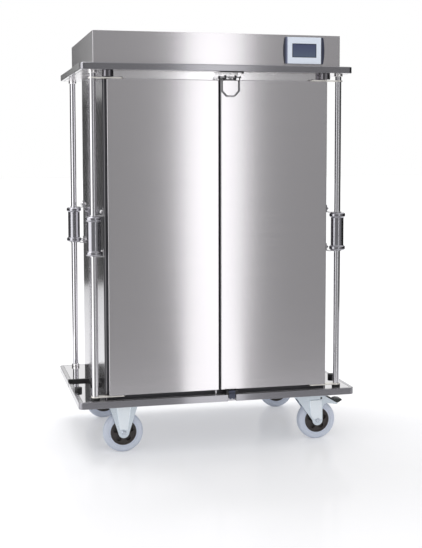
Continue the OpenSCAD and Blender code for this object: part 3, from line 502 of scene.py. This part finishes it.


# ---- Doors ----
# Each door is a brushed pan with soft folded edges, filled with foam behind a pressed inner
# sheet, with a black bellows gasket round its back and two bright arms round the tube. Polished
# posts, their colour darkened as painted shade, hang above the doors, and a white nylon pin
# stands under the left one.
arm_steel = polished("stainless_blasted", "#efece6", 0.36)
for side in ("left", "right"):
    body = "door_" + side
    low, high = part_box(body + "_shell")
    bm = block(low, high)
    back = [f for f in bm.faces if f.normal.y > 0.9]
    bmesh.ops.delete(bm, geom=back, context="FACES_ONLY")
    round_edges(bm, 0.0032, 5)
    skin = piece(body + "_skin", bm, door_steel, body, body + "_shell")
    thick = skin.modifiers.new("sheet", "SOLIDIFY")
    thick.thickness, thick.offset = 0.0014, -1
    skin.modifiers.move(1, 0)

    low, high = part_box(body + "_core")
    bm = block(low, high)
    back = [f for f in bm.faces if f.normal.y > 0.9]
    bmesh.ops.inset_region(bm, faces=back, thickness=0.034, use_even_offset=True)
    bmesh.ops.inset_region(bm, faces=back, thickness=0.006, depth=-0.004, use_even_offset=True)
    round_edges(bm, 0.0012, 3, 25)
    piece(body + "_inner_sheet", bm, lining_steel, body, body + "_core")

    bm = from_cad(body + "_gasket")
    back = [f for f in bm.faces if f.normal.y > 0.9]
    bmesh.ops.inset_region(bm, faces=back, thickness=0.0035, use_even_offset=True)
    bmesh.ops.inset_region(bm, faces=back, thickness=0.0015, depth=-0.002, use_even_offset=True)
    round_edges(bm, 0.0006, 2)
    piece(body + "_bellows", bm, rubber, body, body + "_gasket")

    rounded_cad(body + "_arms", body, arm_steel, 0.0008, 2, 50)
    low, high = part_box(body + "_arms")
    rivet_x = math.copysign(min(abs(low.x), abs(high.x)) + 0.006, low.x)
    door_mid = (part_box(body + "_core")[1].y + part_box(body + "_shell")[0].y) / 2
    for name, z, up in (("top", high.z, 1), ("foot", low.z, -1)):
        cap = turned(
            [(0, -0.0018), (0.0052, -0.0018), (0.0052, 0.0001), (0.0035, 0.0005), (0, 0.0006)],
            (0, 0, 0), segments=24,
        )
        mirrored(cap, (rivet_x, door_mid, z), (1, 1, up))
        piece(f"{body}_rivet_cap_{name}", cap, rubber, body)

pin_low, pin_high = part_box("door_left_pin")
white_nylon = grained("polyamide_white_moulded", "#e4e3e6", "#f2f1f4", 0.35, 0.003, 0.00003)
bm = turned(
    [
        (0, pin_low.z), (0.0022, pin_low.z), (0.003, pin_low.z + 0.001), (0.004, pin_high.z - 0.003),
        (0.004, pin_high.z), (0, pin_high.z),
    ],
    ((pin_low.x + pin_high.x) / 2, (pin_low.y + pin_high.y) / 2, 0), segments=32,
)
piece("door_pin_tapered", bm, white_nylon, "door_left", "door_left_pin")
# Polished steel posts, their colour darkened as painted shade.
polished_steel_painted_shade = polished("steel_polished_painted_shade", "#77757a", 0.08)
stop_low, stop_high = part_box("lift_stops")
stop_r = (stop_high.y - stop_low.y) / 2
for side, x in (("left", stop_low.x + stop_r), ("right", stop_high.x - stop_r)):
    bm = turned(
        [(0, stop_low.z), (stop_r, stop_low.z), (stop_r, stop_high.z), (0, stop_high.z)],
        (x, stop_low.y + stop_r, 0), segments=64,
    )
    round_edges(bm, 0.001, 3, 40)
    piece("lift_stop_" + side, bm, polished_steel_painted_shade, "cabinet", "lift_stops")


# ---- Latch ----
# A bail of nickel-plated 5 mm wire hangs on its pivot between two darker eyes on the right door.
# Its cam turns in front of the meeting edge of the doors, below a black keeper.
def only(geometry, kind):
    """The verts or the edges among what an operator gave back."""
    return [g for g in geometry if isinstance(g, kind)]


def bent_wire(points, y, radius, bend):
    """Round wire bent through points of (x, z) in an upright plane, always to its left."""
    bm = bmesh.new()
    places = [Vector((x, y, z)) for x, z in points]
    first = (places[1] - places[0]).normalized()
    turn = first.to_track_quat("Z", "Y").to_matrix().to_4x4()
    made = bmesh.ops.create_circle(
        bm, cap_ends=True, radius=radius, segments=16, matrix=Matrix.Translation(places[0]) @ turn
    )
    ring = [e for e in bm.edges if all(v in made["verts"] for v in e.verts)]
    at = places[0]
    for i, corner in enumerate(places[1:], 1):
        way = (corner - places[i - 1]).normalized()
        after = (places[i + 1] - corner).normalized() if i + 1 < len(places) else way
        angle = way.angle(after) if i + 1 < len(places) else 0.0
        end = corner - way * bend * math.tan(angle / 2)
        grown = bmesh.ops.extrude_edge_only(bm, edges=ring)["geom"]
        bmesh.ops.translate(bm, verts=only(grown, bmesh.types.BMVert), vec=end - at)
        ring = only(grown, bmesh.types.BMEdge)
        at = end
        if angle:
            left = Vector((-way.z, 0, way.x))
            spun = bmesh.ops.spin(
                bm, geom=ring + list({v for e in ring for v in e.verts}), cent=at + left * bend,
                axis=(0, -1, 0), angle=angle, steps=6, use_merge=False, use_duplicate=False,
            )["geom_last"]
            ring = only(spun, bmesh.types.BMEdge)
            at = corner + after * bend * math.tan(angle / 2)
    bmesh.ops.edgeloop_fill(bm, edges=ring)
    bmesh.ops.recalc_face_normals(bm, faces=bm.faces)
    return bm


bright_wire = plated("steel_bright_nickel_plated", "#8b8a8c", "#98979a", 0.12)
eye_steel = polished("steel_nickel_plated_eyes", "#3c3c3f", 0.09)
rounded_cad("latch_eyes", "door_right", eye_steel, 0.0016, 4, 50)
eye_low, eye_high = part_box("latch_eyes")
wire_r, wire_bend, pivot_r, knob_r, eye_in = 0.0025, 0.0045, 0.003, 0.0045, 0.008
pivot = Vector((0, eye_low.y + eye_in, eye_high.z - eye_in))
left, flat_left, flat_right, right = 0.0085, 0.027, 0.059, 0.0775
bottom, slope = -0.073, 0.02
bm = bent_wire(
    [
        (left, pivot.z), (left, pivot.z + bottom + slope), (flat_left, pivot.z + bottom),
        (flat_right, pivot.z + bottom), (right, pivot.z + bottom + slope), (right, pivot.z),
    ],
    pivot.y, wire_r, wire_bend,
)
piece("bail_wire", bm, bright_wire, "latch_bail", "latch_bail")
bm = turned([(0, -0.004), (pivot_r, -0.004), (pivot_r, 0.08), (0, 0.08)], pivot, "X", 24)
piece("bail_pivot_rod", bm, bright_wire, "latch_bail")
bm = turned([(0, -0.008), (0.006, -0.008), (0.006, 0), (0, 0)], pivot - Vector((0, 0, 0.002)), "X", 32)
round_edges(bm, 0.0008, 2, 40)
piece("bail_cam", bm, eye_steel, "latch_bail")
knob = [(knob_r * math.sin(a), -knob_r * math.cos(a)) for a in (0.5, 0.9, 1.3, 1.7, 2.1, 2.5, 2.9)]
bm = turned([(0, -knob_r * 0.8)] + knob + [(0, knob_r)], pivot + Vector((0.08, 0, 0)), "X", 24)
piece("bail_knob", bm, eye_steel, "latch_bail")
powder_black = grained("black_powder_coat", "#17171a", "#222226", 0.42, 0.0015, 0.0001)
rounded_cad("strike_plate", "cabinet", powder_black, 0.0008, 2)


# ---- Foot pedal and base fittings ----
# Black moulded fittings on the base, and the pedal of dark blue enamelled steel, its tongue
# rounded into two lobes, on a bright pin between two ears.
def slab(outline, near, far):
    """A flat outline of (x, z) points with a thickness along Y."""
    bm = bmesh.new()
    face = bm.faces.new([bm.verts.new((x, near, z)) for x, z in outline])
    grown = bmesh.ops.extrude_face_region(bm, geom=[face])["geom"]
    bmesh.ops.translate(bm, verts=only(grown, bmesh.types.BMVert), vec=(0, far - near, 0))
    bmesh.ops.recalc_face_normals(bm, faces=bm.faces)
    return bm


rounded_cad("base_fittings", "cabinet", rubber, 0.0016, 3)
enamel = grained("dark_blue_enamel", "#2b3147", "#343b54", 0.3, 0.006, 0.00003)
pedal_low, pedal_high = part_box("foot_pedal")
tongue_x, tongue_w, tongue_t, boss_r, pin_r = 0.033, 0.026, 0.004, 0.0065, 0.003
pin_y, pin_z = pedal_high.y - boss_r, pedal_high.z - boss_r
lobe = tongue_w / 4
outline = [(tongue_x + tongue_w, pin_z), (tongue_x, pin_z)]
for middle in (tongue_x + lobe, tongue_x + 3 * lobe):
    for step in range(7):
        a = math.pi * (1 + step / 6)
        outline.append((middle + lobe * math.cos(a), pedal_low.z + lobe + lobe * math.sin(a)))
del outline[8]  # the lobes share this point
bm = slab(outline, pedal_low.y, pedal_low.y + tongue_t)
round_edges(bm, 0.0008, 3, 40)
piece("pedal_tongue", bm, enamel, "foot_pedal", "foot_pedal")
bm = block(
    (tongue_x, pedal_low.y, pin_z - 0.005), (tongue_x + tongue_w, pedal_low.y + 0.009, pin_z + 0.006)
)
round_edges(bm, 0.0014, 3)
piece("pedal_shoulder", bm, enamel, "foot_pedal")
bm = turned([(0, 0), (boss_r, 0), (boss_r, tongue_w), (0, tongue_w)], (tongue_x, pin_y, pin_z), "X", 40)
round_edges(bm, 0.001, 3, 40)
piece("pedal_boss", bm, enamel, "foot_pedal")
bm = turned(
    [(0, pedal_low.x), (pin_r, pedal_low.x), (pin_r, pedal_high.x), (0, pedal_high.x)],
    (0, pin_y, pin_z), "X", 24,
)
piece("pedal_pin", bm, bright_wire, "foot_pedal")


# ---- Hood ----
# Folded brushed sheet over the control unit and the fan, open at the bottom where it stands on
# the top platform, with pressed slots for air at the back and screws along its lower edge.
rounded_cad("hood_housing", "cabinet", door_steel, 0.0012, 3, 40)
hood_low, hood_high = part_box("hood_housing")
screws, screw_in, screw_up = 5, 0.06, 0.012
for i in range(screws):
    x = hood_low.x + screw_in + i * (hood_high.x - hood_low.x - 2 * screw_in) / (screws - 1)
    bm = turned(
        [
            (0, 0), (0.0042, 0), (0.0042, 0.0006), (0.0032, 0.0018), (0.0016, 0.0022), (0.0014, 0.001),
            (0, 0.001),
        ],
        (x, hood_high.y, hood_low.z + screw_up), "Y", 24,
    )
    piece(f"hood_screw_{i}", bm, mirror_steel, "cabinet")
housing = grained("abs_grey_moulded", "#7f8288", "#8c8f95", 0.45, 0.002, 0.0001)
rounded_cad("control_unit", "cabinet", housing, 0.003, 3)
fan_plastic = grained("pbt_black_moulded", "#1b1b1e", "#26262a", 0.4, 0.002, 0.0001)
wear("fan_frame", fan_plastic)
wear("fan_impeller", fan_plastic)
rounded_cad("mains_inlet", "cabinet", fan_plastic, 0.0005, 2)


# ---- Display ----
# A pale moulded front plate with a dark blue glass window set into it behind a thin dark edge,
# between two bowed dark blue trims, the inner side of the left one paled by a painted highlight.
pale_plastic = grained("abs_pale_blue_grey", "#e1eaf8", "#ecf3fd", 0.3, 0.003, 0.00003)
low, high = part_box("display_frame")
glass_low, glass_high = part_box("display_screen")
bm = block(low, high)
front = [f for f in bm.faces if f.normal.y < -0.9]
bmesh.ops.inset_region(bm, faces=front, thickness=glass_low.x - low.x, use_even_offset=True)
for v in front[0].verts:
    v.co.z = glass_low.z if v.co.z < (low.z + high.z) / 2 else glass_high.z
bmesh.ops.inset_region(bm, faces=front, thickness=0.0003, depth=-0.006, use_even_offset=True)
rim = [e for e in bm.edges if e.calc_face_angle() > 0.5 and max(v.co.y for v in e.verts) < low.y + 0.001]
round_edges(bm, 0.0016, 3, chosen=rim)
piece("display_plate", bm, pale_plastic, "cabinet", "display_frame")
trim_plastic, tree, shader = principled("abs_dark_blue_moulded", Roughness=0.35)
trim_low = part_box("display_trims")[0]
trim_lap = 0.002
place = add(tree, "ShaderNodeTexCoord")
part = add(tree, "ShaderNodeSeparateXYZ", Vector=place.outputs["Object"])
across = add(
    tree, "ShaderNodeMapRange", Value=part.outputs["X"], From_Min=trim_low.x, From_Max=low.x + trim_lap
)
# Painted highlight: the left trim pales towards its inner side, and the right trim stays dark.
tone = add(tree, "ShaderNodeValToRGB", Fac=across.outputs[0])
tone.color_ramp.elements[0].color = linear("#232a42")
tone.color_ramp.elements[0].position = 0.25
tone.color_ramp.elements[1].color = linear("#8289a6")
tone.color_ramp.elements[1].position = 0.9
back_dark = tone.color_ramp.elements.new(0.99)
back_dark.color = linear("#232a42")
tree.links.new(tone.outputs[0], shader.inputs["Base Color"])
rounded_cad("display_trims", "cabinet", trim_plastic, 0.002, 4, 40)
edge_ink = grained("glass_edge_black", "#1c222e", "#232a38", 0.2, 0.002, 0.00001)
edge_w = 0.0024
bm = block(
    (glass_low.x, glass_low.y - 0.0003, glass_low.z), (glass_high.x, glass_low.y + 0.0004, glass_high.z)
)
front = [f for f in bm.faces if f.normal.y < -0.9]
bmesh.ops.inset_region(bm, faces=front, thickness=edge_w, use_even_offset=True)
bmesh.ops.inset_region(bm, faces=front, thickness=0.0001, depth=-0.0005, use_even_offset=True)
piece("display_edge", bm, edge_ink, "cabinet")
screen_glass, tree, shader = principled(
    "display_glass_dark_blue", Roughness=0.12, Coat_Weight=0.5, Coat_Roughness=0.05
)
place = add(tree, "ShaderNodeTexCoord")
part = add(tree, "ShaderNodeSeparateXYZ", Vector=place.outputs["Object"])
rise = add(
    tree, "ShaderNodeMapRange", Value=part.outputs["Z"], From_Min=glass_low.z, From_Max=glass_high.z
)
# Painted reflection: the glass is lighter towards the bottom.
tone = add(tree, "ShaderNodeValToRGB", Fac=rise.outputs[0])
tone.color_ramp.elements[0].color = linear("#546176")
tone.color_ramp.elements[1].color = linear("#41486a")
tree.links.new(tone.outputs[0], shader.inputs["Base Color"])
wear("display_screen", screen_glass)


# ---- Casters ----
# Pressed forks of bright zinc-plated steel with a raised flute down each leg, the flutes in a
# paler copy of the plating as a painted highlight, and light grey non-marking tyres bonded to dark
# moulded hubs. The pedal of the brake is dark enamelled steel.
fork_steel = plated("steel_pale_zinc_plated", "#c4ced7", "#dbe3ea", 0.24)
# The same plating in a paler colour: a painted highlight on the raised flutes.
flute_steel_painted_highlight = plated("steel_pale_zinc_plated_painted_highlight", "#dce5ec", "#f1f6fa", 0.22)
for node, body in (
    ("fixed_forks", "cabinet"), ("swivel_plates", "cabinet"),
    ("swivel_fork_front", "swivel_front"), ("swivel_fork_rear", "swivel_rear"),
):
    rounded_cad(node, body, fork_steel, 0.0018, 3, 50)
rounded_cad("caster_bolts", "cabinet", zinc, 0.0008, 2)
brake_enamel = grained("black_green_enamel", "#222826", "#2c3330", 0.34, 0.006, 0.00003)
for at in ("front", "rear"):
    rounded_cad("brake_pedal_" + at, "brake_" + at, brake_enamel, 0.0014, 3, 40)

# Flutes: outlines as (x, z) from the caster's own middle, for the left end and the right end
caster_x, caster_y, leg_out, flute_h, flute_sunk = 0.380, 0.280, 0.026, 0.0032, 0.0005
fixed_flute = [
    (-0.029, 0.188), (-0.026, 0.160), (-0.016, 0.092), (0.016, 0.092), (0.026, 0.160), (0.029, 0.188)
]
swivel_flute = [
    (0.014, 0.166), (0.019, 0.102), (0.032, 0.084), (0.068, 0.084), (0.068, 0.140), (0.066, 0.166)
]
for at, y in (("front", -caster_y), ("rear", caster_y)):
    for side in (-1, 1):
        near = y + side * leg_out
        hand = "outer" if side * y > 0 else "inner"
        for kind, outline, middle, body in (
            ("fixed", fixed_flute, -caster_x, "cabinet"), ("swivel", swivel_flute, caster_x, "swivel_" + at)
        ):
            shape = [(x + middle, z) for x, z in outline]
            bm = slab(shape, near - side * flute_sunk, near + side * flute_h)
            round_edges(bm, 0.0026, 4, 40)
            piece(f"{kind}_flute_{at}_{hand}", bm, flute_steel_painted_highlight, body)

tyre_rubber = grained("rubber_light_grey_non_marking", "#cfd6e6", "#dde4f1", 0.45, 0.004, 0.0001)
hub_plastic = grained("polypropylene_dark_brown", "#2c2726", "#383231", 0.4, 0.003, 0.0001)
for at in ("front_left", "front_right", "rear_left", "rear_right"):
    low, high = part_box("tyre_" + at)
    centre, half = (low + high) / 2, (high.y - low.y) / 2
    face = [
        (0.052, half - 0.001), (0.0555, half - 0.001), (0.0565, half - 0.0022), (0.058, half - 0.0022),
        (0.059, half - 0.0006), (0.070, half), (0.0765, half - 0.0025), (0.0795, half - 0.008),
        (0.080, 0.006),
    ]
    profile = face + [(r, -y) for r, y in reversed(face)]
    bm = turned(profile, centre, "Y", 80)
    piece("tyre_tread_" + at, bm, tyre_rubber, "wheel_" + at, "tyre_" + at, sharp=50)
    rounded_cad("hub_" + at, "wheel_" + at, hub_plastic, 0.0008, 2, 50)
    body = "cabinet" if at.endswith("left") else "swivel_" + at.split("_")[0]
    for side in (-1, 1):
        bm = turned(
            [
                (0, 0), (0.0105, 0), (0.0105, 0.0012), (0.009, 0.0016), (0.009, 0.006), (0.0078, 0.0075),
                (0, 0.0075),
            ],
            (0, 0, 0), "Y", 6,
        )
        mirrored(bm, centre + Vector((0, side * leg_out, 0)), (1, side, 1))
        round_edges(bm, 0.0005, 2, 25)
        piece(f"axle_nut_{at}_{'front' if side < 0 else 'back'}", bm, zinc, body)
